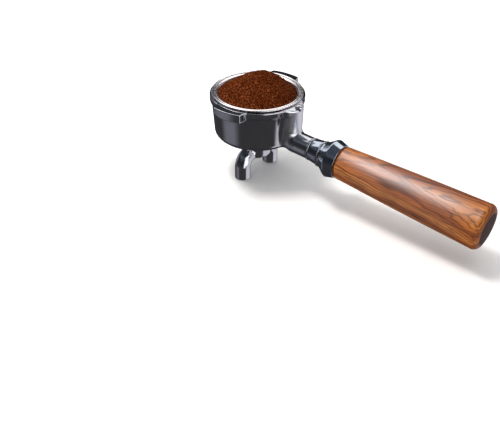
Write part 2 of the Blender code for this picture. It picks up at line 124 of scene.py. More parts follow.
HEAD_R = 36.4
HEAD_TOP_Z = -(RIM_THICK + GAP)
HEAD_BAND_H = 4.6
HEAD_WALL_R = 34.9
HEAD_FOOT_R = 33.2
HEAD_FOOT_ROUND = 6.0
HEAD_FLOOR_Z = -29.8
HEAD_UNDER_Z = -36.6
HEAD_EDGE_R = 0.7
HEAD_BORE_R = BASKET_BORE_R + BASKET_WALL + GAP
BOSS_R = 12.0
BOSS_EDGE_R = 0.6
BOSS_Z = low_high("body_casting")[0].z
OUTLET_R = 4.9
NIPPLE_R = low_high("outlet_nipple")[1].y
NIPPLE_TOP_Z = low_high("outlet_nipple")[1].z
NIPPLE_FOOT_Z = low_high("outlet_nipple")[0].z

LUG_R = 42.0
LUG_TOP_Z = -1.5
LUG_H = 6.4
LUG_CENTRE_ANGLE = math.radians(95.0)
LUG_HALF_ANGLE = math.radians(20.8)
LUG_TAPER = math.radians(5.0)
LUG_RAMP_H = 1.8
LUG_ROUND = 0.5
LUG_ROOT = 2.6

RIB_X = 30.0
RIB_TOP_R = 11.0
RIB_FOOT_R = 10.7
NECK_R = 8.4
ELBOW_R = 11.5
KNUCKLE_R = 3.1
KNUCKLE_X = 39.2
KNUCKLE_Z = -1.9
KNUCKLE_RISE = 2.1
KNUCKLE_DROP = 3.4
RIM_CLEAR_R = RIM_R + 0.4
SPRING_Z = low_high("basket_spring")[0].z + 0.6
GROOVE_HALF = 0.9
GROOVE_DEPTH = 1.5

STUD_R = 5.7
FERRULE_FRONT_R = 10.0
FERRULE_BACK_R = 12.6
FERRULE_VERTEX = 72.0
FERRULE_LAND = 0.9
COLLAR_SLOPE = 0.9
GRIP_FRONT_R = 12.3
GRIP_FRONT_ROUND = 1.6
GRIP_BACK_ROUND = 4.6
GRIP_SWELL = 0.35
INSERT_BORE_R = 8.7
STUD_BORE_R = 6.5
STUD_BORE_END = 116.0


# Mesh helpers

def add_mesh(name, verts, faces, smooth_degrees=40.0):
    """New object from points in millimetres; only creases sharper than the angle stay sharp."""
    mesh = bpy.data.meshes.new(name)
    mesh.from_pydata((np.asarray(verts) * MM).tolist(), [], faces)
    mesh.update()
    item = bpy.data.objects.new(name, mesh)
    bpy.context.scene.collection.objects.link(item)
    mesh.shade_smooth()
    mesh.set_sharp_from_angle(angle=math.radians(smooth_degrees))
    return item


def arc(centre_r, centre_z, radius, start, end, steps):
    angles = np.radians(np.linspace(start, end, steps + 1))
    return [(centre_r + radius * math.cos(a), centre_z + radius * math.sin(a)) for a in angles]


def lathe(profile, segments):
    """Closed (radius, height) loop turned about Z: points and faces, outward normals."""
    verts, rings = [], []
    for radius, height in profile:
        if radius < 1e-6:
            rings.append([len(verts)] * segments)
            verts.append((0.0, 0.0, height))
            continue
        start = len(verts)
        for step in range(segments):
            angle = 2.0 * math.pi * step / segments
            verts.append((radius * math.cos(angle), radius * math.sin(angle), height))
        rings.append(list(range(start, start + segments)))
    faces = []
    for here, there in zip(rings, rings[1:] + rings[:1]):
        for step in range(segments):
            after = (step + 1) % segments
            loop = [here[step], here[after], there[after], there[step]]
            loop = [index for place, index in enumerate(loop) if index != loop[place - 1]]
            if len(set(loop)) > 2:
                faces.append(loop)
    return np.array(verts), faces


def outward(item):
    bm = bmesh.new()
    bm.from_mesh(item.data)
    bmesh.ops.recalc_face_normals(bm, faces=bm.faces)
    bm.to_mesh(item.data)
    bm.free()


def along_handle(verts):
    """Points turned about Z become points about the handle axis, height becoming station."""
    turn = np.array(Euler((0.0, math.pi / 2.0 + DROOP, 0.0)).to_matrix())
    return np.asarray(verts) @ turn.T + np.array(HANDLE_ORIGIN)


def turned(name, profile, segments, on_handle=False, smooth_degrees=40.0):
    verts, faces = lathe(profile, segments)
    if on_handle:
        verts = along_handle(verts)
    item = add_mesh(name, verts, faces, smooth_degrees)
    outward(item)
    return item


def finish_piece(item, body, slot, material, *nodes):
    item.data.materials.clear()
    item.data.materials.append(material)
    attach(item, body)
    if nodes:
        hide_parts(*nodes)
    return item


# Distance fields

def polygon_distance(r, z, corners):
    """Signed distance to a closed polygon in the radius-height plane, negative inside."""
    best = np.full(r.shape, 1e9, dtype=r.dtype)
    inside = np.zeros(r.shape, dtype=bool)
    for (ar, az), (br, bz) in zip(corners, corners[-1:] + corners[:-1]):
        er, ez = br - ar, bz - az
        wr, wz = r - ar, z - az
        share = np.clip((wr * er + wz * ez) / (er * er + ez * ez), 0.0, 1.0)
        gap_r, gap_z = wr - er * share, wz - ez * share
        best = np.minimum(best, gap_r * gap_r + gap_z * gap_z)
        if abs(ez) > 1e-9:
            between = (z >= min(az, bz)) & (z < max(az, bz))
            inside ^= between & (r < ar + (z - az) * er / ez)
    distance = np.sqrt(best)
    return np.where(inside, -distance, distance)


def join(a, b, blend):
    """Union of two fields, the seam between them filled over the blend."""
    share = np.clip(0.5 + 0.5 * (b - a) / blend, 0.0, 1.0)
    return b + (a - b) * share - blend * share * (1.0 - share)


def keep(a, b, blend):
    """What lies inside both fields, the edge between them eased over the blend."""
    return -join(-a, -b, blend)


def tube_distance(p, path, radii):
    """Distance to a round bar along a polyline, its radius changing evenly between points."""
    best = None
    for index in range(len(path) - 1):
        start, end = path[index], path[index + 1]
        run = end - start
        offset = p - start
        share = np.clip(offset @ run / (run @ run), 0.0, 1.0)
        gap = offset - share[:, None] * run
        radius = radii[index] + (radii[index + 1] - radii[index]) * share
        here = np.sqrt((gap * gap).sum(1)) - radius
        best = here if best is None else np.minimum(best, here)
    return best


def bend_path(start, corner, end, radius, steps):
    """Polyline through a corner that is rounded to the radius."""
    into = (corner - start) / np.linalg.norm(corner - start)
    out = (end - corner) / np.linalg.norm(end - corner)
    turn = math.acos(float(into @ out))
    first = corner - into * radius * math.tan(turn / 2.0)
    normal = out - into * float(into @ out)
    normal /= np.linalg.norm(normal)
    centre = first + normal * radius
    path = [start]
    for angle in np.linspace(0.0, turn, steps + 1):
        path.append(centre - normal * radius * math.cos(angle) + into * radius * math.sin(angle))
    path.append(end)
    return path


CORNERS = [(i, j, k) for i in (0, 1) for j in (0, 1) for k in (0, 1)]
CELL_EDGES = [(a, b) for a in range(8) for b in range(a + 1, 8)
              if sum(abs(p - q) for p, q in zip(CORNERS[a], CORNERS[b])) == 1]


def grid_values(field, low, counts, step):
    """Field at every grid point, worked out slab by slab."""
    values = np.empty(counts, dtype=np.float32)
    ys = low[1] + step * np.arange(counts[1])
    zs = low[2] + step * np.arange(counts[2])
    grid_y, grid_z = np.meshgrid(ys, zs, indexing="ij")
    slab = np.empty((grid_y.size, 3))
    slab[:, 1] = grid_y.ravel()
    slab[:, 2] = grid_z.ravel()
    for index in range(counts[0]):
        slab[:, 0] = low[0] + step * index
        values[index] = field(slab).reshape(counts[1], counts[2])
    return values


def cell_vertices(values, low, counts, step):
    """One vertex in each cell that the surface crosses, and the index of the vertex for every cell."""
    corner_values = []
    for i, j, k in CORNERS:
        corner_values.append(values[i:counts[0] - 1 + i, j:counts[1] - 1 + j, k:counts[2] - 1 + k])
    filled = sum((block < 0).astype(np.int8) for block in corner_values)
    active = (filled > 0) & (filled < 8)
    cells = np.argwhere(active)
    index_of = np.full(active.shape, -1, dtype=np.int64)
    index_of[active] = np.arange(len(cells))
    at_cells = np.stack([block[active] for block in corner_values], axis=1)
    total = np.zeros((len(cells), 3))
    hits = np.zeros(len(cells))
    for a, b in CELL_EDGES:
        va, vb = at_cells[:, a], at_cells[:, b]
        crosses = (va < 0) != (vb < 0)
        share = np.where(crosses, va / np.where(crosses, va - vb, 1.0), 0.0)
        pa, pb = np.array(CORNERS[a], float), np.array(CORNERS[b], float)
        total += crosses[:, None] * (pa + share[:, None] * (pb - pa))
        hits += crosses
    return np.array(low) + step * (cells + total / hits[:, None]), index_of


def cell_quads(values, index_of, counts):
    """A quad round every grid edge that the surface crosses, wound to face outward."""
    quads = []
    inside = values < 0
    for axis in range(3):
        u, v = [other for other in range(3) if other != axis]
        here = [slice(None)] * 3
        there = [slice(None)] * 3
        here[axis], there[axis] = slice(0, -1), slice(1, None)
        change = inside[tuple(here)] != inside[tuple(there)]
        starts = np.argwhere(change)
        ok = (starts[:, u] > 0) & (starts[:, v] > 0)
        ok &= (starts[:, u] < counts[u] - 1) & (starts[:, v] < counts[v] - 1)
        starts = starts[ok]
        around = []
        for du, dv in ((-1, -1), (0, -1), (0, 0), (-1, 0)):
            cell = starts.copy()
            cell[:, u] += du
            cell[:, v] += dv
            around.append(index_of[tuple(cell.T)])
        loop = np.stack(around, axis=1)
        solid_first = inside[tuple(starts.T)]
        flip = solid_first if axis != 1 else ~solid_first
        loop[~flip] = loop[~flip][:, ::-1]
        quads.append(loop)
    return np.concatenate(quads)


def skin(field, low, high, step):
    """Quad mesh on the zero level of a distance field, its vertices pulled onto the level."""
    counts = [int(math.ceil((high[axis] - low[axis]) / step)) + 1 for axis in range(3)]
    values = grid_values(field, low, counts, step)
    verts, index_of = cell_vertices(values, low, counts, step)
    quads = cell_quads(values, index_of, counts)
    reach = 0.6 * step
    for _ in range(3):
        distance, slope = field_slope(field, verts, 0.02)
        move = -distance[:, None] * slope / np.maximum((slope * slope).sum(1), 0.2)[:, None]
        length = np.linalg.norm(move, axis=1)
        move *= np.minimum(1.0, reach / np.maximum(length, 1e-9))[:, None]
        verts = verts + move
    return verts, quads


def field_slope(field, points, reach):
    """Distance at each point and the direction in which it grows."""
    distance = field(points)
    slope = np.empty_like(points)
    for axis in range(3):
        step = np.zeros(3)
        step[axis] = reach
        slope[:, axis] = (field(points + step) - field(points - step)) / (2.0 * reach)
    return distance, slope


def skinned(name, field, low, high, step):
    """Object from a distance field, shaded with the field's own slope so reflections run smoothly."""
    verts, quads = skin(field, low, high, step)
    item = add_mesh(name, verts, quads.tolist(), 180.0)
    outward(item)
    slope = field_slope(field, verts, 0.12)[1]
    slope /= np.maximum(np.linalg.norm(slope, axis=1), 1e-6)[:, None]
    item.data.normals_split_custom_set_from_vertices(slope.tolist())
    return item


# Head casting

def inset_shell():
    """Outline of the head, drawn inside its surface by the edge radius."""
    edge = HEAD_EDGE_R
    band_z = HEAD_TOP_Z - HEAD_BAND_H
    foot_r, foot_z = HEAD_FOOT_R - HEAD_FOOT_ROUND, HEAD_UNDER_Z + HEAD_FOOT_ROUND
    outline = [(0.0, HEAD_TOP_Z - edge), (HEAD_R - edge, HEAD_TOP_Z - edge)]
    outline += [(HEAD_R - edge, band_z + 0.3), (HEAD_WALL_R - edge, band_z - 1.0)]
    outline += arc(foot_r, foot_z, HEAD_FOOT_ROUND - edge, 4.0, -90.0, 8)
    outline += [(0.0, HEAD_UNDER_Z + edge)]
    return outline


def bore_outline():
    """Everything turned out of the head: bore, spring groove, floor cone, outlet and nipple seat."""
    top, foot = HEAD_TOP_Z + 8.0, BOSS_Z - 4.0
    groove_r = HEAD_BORE_R + GROOVE_DEPTH
    groove_top, groove_foot = SPRING_Z + GROOVE_HALF, SPRING_Z - GROOVE_HALF
    corner, fall = 1.4, 2.2
    seat_r, seat_z = NIPPLE_R + GAP, NIPPLE_TOP_Z + GAP
    outline = [(-1.0, top), (HEAD_BORE_R, top), (HEAD_BORE_R, groove_top), (groove_r, groove_top)]
    outline += [(groove_r, groove_foot), (HEAD_BORE_R, groove_foot), (HEAD_BORE_R, HEAD_FLOOR_Z + corner)]
    outline += [(HEAD_BORE_R - corner, HEAD_FLOOR_Z), (OUTLET_R, HEAD_FLOOR_Z - fall), (OUTLET_R, seat_z)]
    outline += [(seat_r, seat_z), (seat_r, foot), (-1.0, foot)]
    return outline


def on_axis(station):
    """Point on the handle axis."""
    return np.array(HANDLE_ORIGIN) + np.array(HANDLE_DIR) * station


def lug_distance(p, side):
    """Locking lug: a rounded bar bent round the head, its underside climbing at the leading end."""
    x, y, z = p[:, 0] * side, p[:, 1] * side, p[:, 2]
    radius = np.hypot(x, y)
    along_x, along_y = math.cos(LUG_CENTRE_ANGLE), math.sin(LUG_CENTRE_ANGLE)
    angle = np.arctan2(y * along_x - x * along_y, x * along_x + y * along_y)
    outer_share = np.clip((radius - HEAD_R) / (LUG_R - HEAD_R), 0.0, 1.0)
    half_angle = LUG_HALF_ANGLE - LUG_TAPER * outer_share
    along = (np.abs(angle) - half_angle) * radius + LUG_ROUND
    middle_r = (HEAD_R - LUG_ROOT + LUG_R) / 2.0
    half_r = (LUG_R - HEAD_R + LUG_ROOT) / 2.0
    across = np.abs(radius - middle_r) - half_r + LUG_ROUND
    lead = np.clip((angle - (-LUG_HALF_ANGLE)) / (2.0 * LUG_HALF_ANGLE) * 3.0, 0.0, 1.0)
    low = LUG_TOP_Z - LUG_H + LUG_RAMP_H * (1.0 - lead)
    height = np.abs(z - (LUG_TOP_Z + low) / 2.0) - (LUG_TOP_Z - low) / 2.0 + LUG_ROUND
    stack = np.stack([along, across, height])
    outside = np.sqrt((np.maximum(stack, 0.0) ** 2).sum(0))
    return outside + np.minimum(stack.max(0), 0.0) - LUG_ROUND


def knuckle_distance(p):
    """Egg-shaped boss that stands out of the rib just under the rim."""
    x, y, z = p[:, 0] - KNUCKLE_X, p[:, 1], p[:, 2] - KNUCKLE_Z
    tall = np.where(z > 0.0, KNUCKLE_RISE, KNUCKLE_DROP)
    near = np.sqrt((x * x + y * y) / KNUCKLE_R ** 2 + z * z / tall ** 2)
    steep = np.sqrt((x * x + y * y) / KNUCKLE_R ** 4 + z * z / tall ** 4)
    return near * (near - 1.0) / np.maximum(steep, 1e-6)


def casting_field():
    """Head shell, boss, rib with elbow and neck, knuckle and lugs, less the bore and the stud hole."""
    shell = inset_shell()
    bore = bore_outline()
    neck_end = station_range("neck_ring")[0] - GAP
    stud_from = station_range("neck_stud")[0] - GAP
    top = np.array((RIB_X, 0.0, HEAD_TOP_Z - 1.2))
    corner = on_axis(RIB_X / HANDLE_DIR.x)
    bends = 10
    path = bend_path(top, corner, on_axis(neck_end + 6.0), ELBOW_R, bends)
    radii = [RIB_FOOT_R + (NECK_R - RIB_FOOT_R) * step / bends for step in range(bends + 1)]
    radii = [RIB_TOP_R] + radii + [NECK_R]
    axis_from = np.array(HANDLE_ORIGIN)
    axis_dir = np.array(HANDLE_DIR)

    def field(p):
        z = p[:, 2]
        radius = np.hypot(p[:, 0], p[:, 1])
        body = polygon_distance(radius, z, shell) - HEAD_EDGE_R
        boss = np.maximum(radius - BOSS_R + BOSS_EDGE_R, BOSS_Z + BOSS_EDGE_R - z)
        boss = np.maximum(boss, z - HEAD_UNDER_Z - 3.0) - BOSS_EDGE_R
        body = join(body, boss, 2.4)
        rib = tube_distance(p, path, radii)
        offset = p - axis_from
        station = offset @ axis_dir
        rib = keep(rib, station - neck_end, 0.5)
        rib = keep(rib, z - (HEAD_TOP_Z - 0.9), 1.6)
        body = join(body, rib, 3.4)
        body = keep(body, z - HEAD_TOP_Z, 0.8)
        body = join(body, keep(knuckle_distance(p), RIM_CLEAR_R - radius, 0.5), 0.4)
        for side in (1.0, -1.0):
            body = join(body, lug_distance(p, side), 0.7)
        body = keep(body, -polygon_distance(radius, z, bore), 0.35)
        across = offset - station[:, None] * axis_dir
        hole = np.maximum(np.sqrt((across * across).sum(1)) - STUD_R - GAP, stud_from - station)
        return keep(body, -hole, 0.3)

    return field


def build_casting(material):
    low, high = low_high("body_casting")
    pad = Vector((1.5, 1.5, 1.5))
    step = 0.55
    item = skinned("head_casting", casting_field(), low - pad, high + pad, step)
    return finish_piece(item, "head", "head_chrome", material, "body_casting")


# Filter basket and dose

def basket_outline():
    """Section of the basket: floor, tapering wall, bend up to the crest, groove and outer bead."""
    inner, outer = BASKET_BORE_R, BASKET_BORE_R + BASKET_WALL
    corner, bend, bead = BASKET_CORNER_R, BASKET_LIP_R, RIM_BEAD_R
    corner_r, corner_z = inner - BASKET_TAPER - corner, BASKET_FLOOR_Z + corner
    half = RIM_THICK / 2.0
    under = 0.5
    outline = [(0.0, BASKET_FLOOR_Z)]
    outline += arc(corner_r, corner_z, corner, -90.0, -4.0, 10)
    outline += [(inner - BASKET_TAPER / 2.0, BASKET_WAIST_Z), (inner, -4.5)]
    outline += arc(inner + bend, -BASKET_LIP_DROP - bend, bend, 180.0, 90.0, 12)
    outline += arc(inner + bend, -BASKET_LIP_DROP - CREST_R, CREST_R, 90.0, 22.0, 8)[1:]
    for angle in np.radians(np.linspace(198.0, -90.0, 30)):
        outline.append((RIM_R - bead + bead * math.cos(angle), half * (math.sin(angle) - 1.0)))
    outline += [(outer + under, -RIM_THICK)]
    outline += arc(outer + under, -RIM_THICK - under, under, 90.0, 180.0, 4)[1:]
    outline += [(outer - BASKET_TAPER / 2.0, BASKET_WAIST_Z)]
    outline += arc(corner_r, corner_z, corner + BASKET_WALL, -4.0, -90.0, 10)
    outline += [(0.0, BASKET_FLOOR_Z - BASKET_WALL)]
    return outline


def hole_cutter(sides=8):
    """Hexagonal field of small drills through the basket floor."""
    verts, faces = [], []
    for row in range(-HOLE_RINGS, HOLE_RINGS + 1):
        count = 2 * HOLE_RINGS + 1 - abs(row)
        for column in range(count):
            x = (column - (count - 1) / 2.0) * HOLE_PITCH
            y = row * HOLE_PITCH * math.sqrt(3.0) / 2.0
            start = len(verts)
            for height in (BASKET_FLOOR_Z - BASKET_WALL - 1.0, BASKET_FLOOR_Z + 1.0):
                for step in range(sides):
                    angle = 2.0 * math.pi * step / sides
                    verts.append((x + HOLE_R * math.cos(angle), y + HOLE_R * math.sin(angle), height))
            for step in range(sides):
                after = (step + 1) % sides
                faces.append((start + step, start + after, start + sides + after, start + sides + step))
            faces.append(tuple(range(start, start + sides))[::-1])
            faces.append(tuple(range(start + sides, start + 2 * sides)))
    return add_mesh("hole_cutter", verts, faces)


def build_basket(material):
    item = turned("basket", basket_outline(), 160)
    cutter = hole_cutter()
    drill = item.modifiers.new("Perforation", "BOOLEAN")
    drill.operation = "DIFFERENCE"
    drill.solver = "EXACT"
    drill.object = cutter
    graph = bpy.context.evaluated_depsgraph_get()
    mesh = bpy.data.meshes.new_from_object(item.evaluated_get(graph))
    item.modifiers.clear()
    item.data = mesh
    bpy.data.objects.remove(cutter, do_unlink=True)
    mesh.shade_smooth()
    mesh.set_sharp_from_angle(angle=math.radians(40.0))
    return finish_piece(item, "basket", "basket_steel", material, "filter_basket")


DOSE_R = BASKET_BORE_R - GAP
DOSE_EDGE_Z = -2.0
DOSE_PEAK = 14.7
DOSE_POWER = 1.5
DOSE_LEAN = 0.1
DOSE_LEAN_ANGLE = math.radians(38.7)
GRAIN_COUNT = 3600
GRAIN_MIN = 0.15
GRAIN_MAX = 0.5


def lumps(x, y, seed):
    """Uneven surface of loose ground coffee, in millimetres: soft swells down to single grains."""
    height = 0.75 * noise.noise(Vector((x * 0.09, y * 0.09, seed)))
    height += 0.42 * noise.noise(Vector((x * 0.28, y * 0.28, seed + 7.0)))
    height += 0.34 * noise.noise(Vector((x * 0.75, y * 0.75, seed + 13.0)))
    height += 0.26 * noise.noise(Vector((x * 1.7, y * 1.7, seed + 21.0)))
    return height


def dose_height(x, y):
    """Top of the heap: a dome that leans a little, with lumps that fade towards the wall."""
    share = min(math.hypot(x, y) / DOSE_R, 1.0)
    fade = DOSE_LEAN * (1.0 - share ** 2)
    off_x, off_y = fade * math.cos(DOSE_LEAN_ANGLE), fade * math.sin(DOSE_LEAN_ANGLE)
    reach = math.hypot(x / DOSE_R - off_x, y / DOSE_R - off_y)
    dome = DOSE_EDGE_Z + (DOSE_PEAK - DOSE_EDGE_Z) * (1.0 - reach ** DOSE_POWER)
    return dome + lumps(x, y, 3.0) * (1.0 - 0.55 * share ** 6)


def dose_surface():
    """Closed dose: the lumpy top in staggered rings, the wall and the flat foot."""
    rings = 84
    segments = 264
    verts = [(0.0, 0.0, dose_height(0.0, 0.0))]
    faces = []
    for ring in range(1, rings + 1):
        radius = DOSE_R * ring / rings
        for step in range(segments):
            angle = 2.0 * math.pi * (step + 0.5 * (ring % 2)) / segments
            x, y = radius * math.cos(angle), radius * math.sin(angle)
            verts.append((x, y, dose_height(x, y)))
    for step in range(segments):
        faces.append((0, 1 + step, 1 + (step + 1) % segments))
    for ring in range(1, rings):
        inner, outer = 1 + (ring - 1) * segments, 1 + ring * segments
        for step in range(segments):
            after = (step + 1) % segments
            faces.append((inner + step, outer + step, outer + after, inner + after))
    last = 1 + (rings - 1) * segments
    foot_z = BASKET_FLOOR_Z + GAP
    previous = last
    for radius, height in ((DOSE_R - 1.1, BASKET_FLOOR_Z + 3.0), (DOSE_R - 3.6, foot_z)):
        start = len(verts)
        for step in range(segments):
            angle = 2.0 * math.pi * (step + 0.5 * (rings % 2)) / segments
            verts.append((radius * math.cos(angle), radius * math.sin(angle), height))
        for step in range(segments):
            after = (step + 1) % segments
            faces.append((previous + step, start + step, start + after, previous + after))
        previous = start
    faces.append(tuple(range(previous, previous + segments))[::-1])
    return verts, faces


def grain_lumps(count, smallest, largest, rng):
    """Loose clumps half sunk in the dose, each a small uneven lump."""
    verts, faces = [], []
    template = bmesh.new()
    bmesh.ops.create_icosphere(template, subdivisions=1, radius=1.0)
    points = np.array([v.co[:] for v in template.verts])
    loops = [[v.index for v in f.verts] for f in template.faces]
    template.free()
    for _ in range(count):
        radius = (DOSE_R - 0.8) * math.sqrt(rng.random())
        angle = rng.random() * 2.0 * math.pi
        x, y = radius * math.cos(angle), radius * math.sin(angle)
        size = smallest + (largest - smallest) * rng.random() ** 2.5
        squash = np.array((1.0, 0.75 + 0.25 * rng.random(), 0.55 + 0.3 * rng.random())) * size
        jitter = 1.0 + 0.28 * (rng.random(len(points))[:, None] - 0.5)
        turn = np.array(Euler(tuple(rng.random(3) * 6.28)).to_matrix())
        lump = (points * squash * jitter) @ turn.T
        lump += np.array((x, y, dose_height(x, y) + 0.12 * size))
        start = len(verts)
        verts.extend(map(tuple, lump))
        faces.extend([tuple(start + index for index in loop) for loop in loops])
    return verts, faces


def build_dose(material):
    verts, faces = dose_surface()
    item = add_mesh("coffee_dose", verts, faces, 80.0)
    finish_piece(item, "dose", "coffee", material, "ground_coffee")
    grain_verts, grain_faces = grain_lumps(GRAIN_COUNT, GRAIN_MIN, GRAIN_MAX, np.random.default_rng(11))
    grains = add_mesh("coffee_grains", grain_verts, grain_faces, 80.0)
    finish_piece(grains, "dose", "coffee", material)


# Twin spout

SPOUT_LOW, SPOUT_HIGH = low_high("twin_spout")
HUB_R = 11.4
HUB_TOP_Z = SPOUT_HIGH.z
HUB_FOOT_Z = HUB_TOP_Z - 10.4
ARM_R = 6.1
ARM_BORE_R = 4.3
ARM_REACH = SPOUT_HIGH.y - ARM_R
ARM_BEND_R = 9.0
HUB_EDGE_R = 0.9
JOURNAL_GAP = 0.05


def arm_path(sign, start_y, foot_z):
    hub_z = HUB_FOOT_Z + ARM_R - 1.0
    start = np.array((0.0, sign * start_y, hub_z))
    corner = np.array((0.0, sign * ARM_REACH, hub_z - 3.4))
    return bend_path(start, corner, np.array((0.0, sign * ARM_REACH, foot_z)), ARM_BEND_R, 8)


def spout_field():
    """Hub with two bent arms, less the nipple's well and the bores of the arms."""
    foot = SPOUT_LOW.z
    outer = [arm_path(sign, 1.0, foot - 8.0) for sign in (1.0, -1.0)]
    inner = [arm_path(sign, 0.4, foot - 12.0) for sign in (1.0, -1.0)]
    edge, foot_round = HUB_EDGE_R, 3.0
    hub = [(0.0, HUB_TOP_Z - edge), (HUB_R - edge, HUB_TOP_Z - edge)]
    hub += arc(HUB_R - foot_round, HUB_FOOT_Z + foot_round, foot_round - edge, 0.0, -90.0, 6)
    hub += [(0.0, HUB_FOOT_Z + edge)]
    well_r, well_top = NIPPLE_R + JOURNAL_GAP, HUB_TOP_Z + 3.0
    seat_z, floor_z = NIPPLE_FOOT_Z - GAP, HUB_FOOT_Z + 1.9
    well = [(-1.0, well_top), (well_r, well_top), (well_r, seat_z)]
    well += [(OUTLET_R, seat_z), (OUTLET_R, floor_z), (-1.0, floor_z)]

    def field(p):
        radius = np.hypot(p[:, 0], p[:, 1])
        z = p[:, 2]
        body = polygon_distance(radius, z, hub) - edge
        for path in outer:
            body = join(body, tube_distance(p, path, [ARM_R] * len(path)), 1.6)
        body = keep(body, foot - z, 0.5)
        body = keep(body, -polygon_distance(radius, z, well), 0.3)
        for path in inner:
            body = keep(body, -tube_distance(p, path, [ARM_BORE_R] * len(path)), 0.5)
        return body

    return field


def build_spout(material):
    pad = Vector((1.2, 1.2, 1.2))
    step = 0.45
    item = skinned("spout_casting", spout_field(), SPOUT_LOW - pad, SPOUT_HIGH + pad, step)
    return finish_piece(item, "spout", "spout_chrome", material, "twin_spout")


# Handle

def bead_outline(node):
    start, end, outer = station_range(node)
    half = (end - start) / 2.0
    outline = [(STUD_R + GAP, start)]
    outline += arc(outer - half, start + half, half, -90.0, 90.0, 16)
    outline += [(STUD_R + GAP, end)]
    return outline


def build_bead(name, node, material):
    item = turned(name, bead_outline(node), 96, True, 60.0)
    return finish_piece(item, "head", "ring_chrome", material, node)


def round_corners(points, radius, steps=4):
    """Replaces each corner of an open profile by a small arc of quadratic curve."""
    result = [points[0]]
    for before, corner, after in zip(points, points[1:], points[2:]):
        b, c, a = (np.array(point, float) for point in (before, corner, after))
        into, out = b - c, a - c
        reach = min(radius, 0.45 * np.linalg.norm(into), 0.45 * np.linalg.norm(out))
        first = c + into / np.linalg.norm(into) * reach
        last = c + out / np.linalg.norm(out) * reach
        for step in range(steps + 1):
            t = step / steps
            point = (1 - t) ** 2 * first + 2 * t * (1 - t) * c + t * t * last
            result.append(tuple(point))
    result.append(points[-1])
    return result


def build_collar(material):
    start, end, outer = station_range("handle_collar")
    inner = STUD_R + GAP
    outline = [(inner, start), (outer - COLLAR_SLOPE, start), (outer, end), (inner, end)]
    item = turned("collar_sleeve", round_corners(outline, 0.25), 96, True)
    return finish_piece(item, "head", "ferrule_chrome", material, "handle_collar")


def build_ferrule(material):
    """Double cone with a narrow land round its widest station."""
    start, end, outer = station_range("handle_ferrule")
    inner = STUD_R + GAP
    ease, land = 0.25, FERRULE_LAND
    outline = [(inner, start), (FERRULE_FRONT_R, start), (FERRULE_FRONT_R + ease, start + 1.6)]
    outline += [(outer - ease, FERRULE_VERTEX - land), (outer, FERRULE_VERTEX - land / 2.0)]
    outline += [(outer, FERRULE_VERTEX + land / 2.0), (outer - ease, FERRULE_VERTEX + land)]
    outline += [(FERRULE_BACK_R, end), (inner, end)]
    item = turned("ferrule", round_corners(outline, 0.3, 5), 128, True, 30.0)
    return finish_piece(item, "head", "ferrule_chrome", material, "handle_ferrule")


def grip_radius(share, back_r):
    return GRIP_FRONT_R + (back_r - GRIP_FRONT_R) * share + GRIP_SWELL * math.sin(math.pi * share)


def build_grip(material):
    """Slightly swelling taper with rounded ends, a crowned back face and a stepped bore in front."""
    start, end, outer = station_range("wood_grip")
    crown = 0.3
    end -= crown
    front, back = GRIP_FRONT_ROUND, GRIP_BACK_ROUND
    outline = [(INSERT_BORE_R, start)]
    outline += arc(GRIP_FRONT_R - front + 0.15, start + front, front, -90.0, 0.0, 10)
    stations = 60
    for step in range(3, stations - 2):
        share = step / stations
        outline.append((grip_radius(share, outer), start + (end - start) * share))
    outline += arc(outer - back, end - back, back, 0.0, 80.0, 14)
    outline += [(outer * 0.35, end + 0.2), (0.0, end + crown)]
    outline += [(0.0, STUD_BORE_END), (STUD_BORE_R, STUD_BORE_END)]
    pocket = station_range("grip_insert")[1] + GAP
    outline += [(STUD_BORE_R, pocket), (INSERT_BORE_R, pocket)]
    item = turned("grip_wood", outline, 144, True, 35.0)
    return finish_piece(item, "head", "wood", material, "wood_grip")


# Materials

